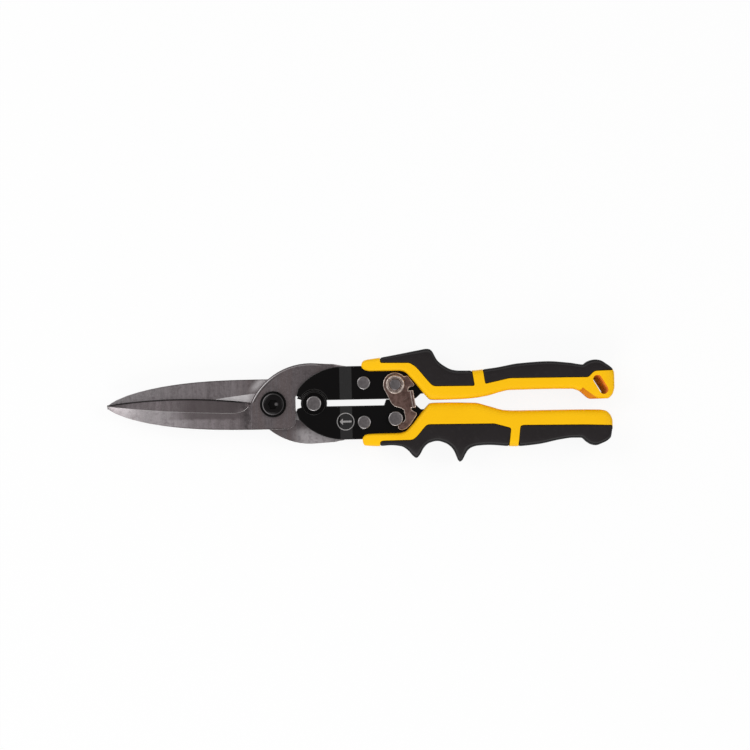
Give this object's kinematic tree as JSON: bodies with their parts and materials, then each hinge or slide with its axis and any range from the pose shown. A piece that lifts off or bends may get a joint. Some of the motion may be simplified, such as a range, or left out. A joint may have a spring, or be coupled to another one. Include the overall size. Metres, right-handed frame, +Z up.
{
  "type": "aviation snips",
  "caption": "Compound-action aviation snips with long straight blades, pressed steel handle channels, a thumb latch and two-colour moulded grips.",
  "frame": {"origin": "centre of the box of the tool lying flat, on the surface that its grips and pivot nut rest on", "axes": "+X along the tool from the blade tips to the grip ends, +Z up from the surface towards the latch side"},
  "size_m": [0.299, 0.067, 0.0215],
  "materials": {
    "blade_steel": "satin forged steel, ground jaws",
    "black_steel": "black oxide, satin",
    "rivet_steel": "dull steel",
    "spring_steel": "drawn wire",
    "latch_bronze": "dark bronze plating, worn at the edges",
    "grip_yellow": "moulded, fine satin texture",
    "pad_black": "soft moulded rubber, matt"
  },
  "bodies": {
    "lower_handle": {"lower_channel": "black_steel", "hub_rivet": "rivet_steel", "hub_washers": "black_steel", "hub_spacer": "rivet_steel", "handle_spring": "spring_steel", "lower_tail_rivet": "rivet_steel", "keeper_pin": "rivet_steel", "keeper_spacer": "rivet_steel", "lower_grip_core": "grip_yellow", "lower_front_pad": "pad_black", "lower_rear_pad": "pad_black"},
    "upper_handle": {"upper_channel": "black_steel", "upper_tail_rivet": "rivet_steel", "latch_rivet": "rivet_steel", "latch_washer": "latch_bronze", "latch_spacer": "rivet_steel", "upper_grip_core": "grip_yellow", "upper_front_pad": "pad_black", "upper_rear_pad": "pad_black"},
    "front_blade": {"front_blade": "blade_steel", "pivot_bolt": "black_steel", "pivot_nut": "black_steel"},
    "rear_blade": {"rear_blade": "blade_steel"},
    "latch": {"latch": "latch_bronze"}
  },
  "joints": [
    {"name": "handle_swing", "type": "hinge", "parent": "lower_handle", "child": "upper_handle", "pos_m": [-0.0275, 0.0025, 0.01], "axis": [0, 0, 1], "range_deg": [0, 38.5], "deforming": ["handle_spring"]},
    {"name": "rear_blade_swing", "type": "hinge", "parent": "lower_handle", "child": "rear_blade", "pos_m": [0.002, -0.0091, 0.01], "axis": [0, 0, 1], "range_deg": [0, 9.2]},
    {"name": "front_blade_swing", "type": "hinge", "parent": "upper_handle", "child": "front_blade", "pos_m": [0.002, 0.0141, 0.01], "axis": [0, 0, 1], "range_deg": [-9.2, 0]},
    {"name": "latch_swing", "type": "hinge", "parent": "upper_handle", "child": "latch", "pos_m": [0.0205, 0.0128, 0.01], "axis": [0, 0, 1], "range_deg": [-9, 2.5]}
  ],
  "couplings": [
    {"joint": "rear_blade_swing", "follows": "handle_swing", "ratio": 0.2381},
    {"joint": "front_blade_swing", "follows": "handle_swing", "ratio": -0.2381}
  ]
}
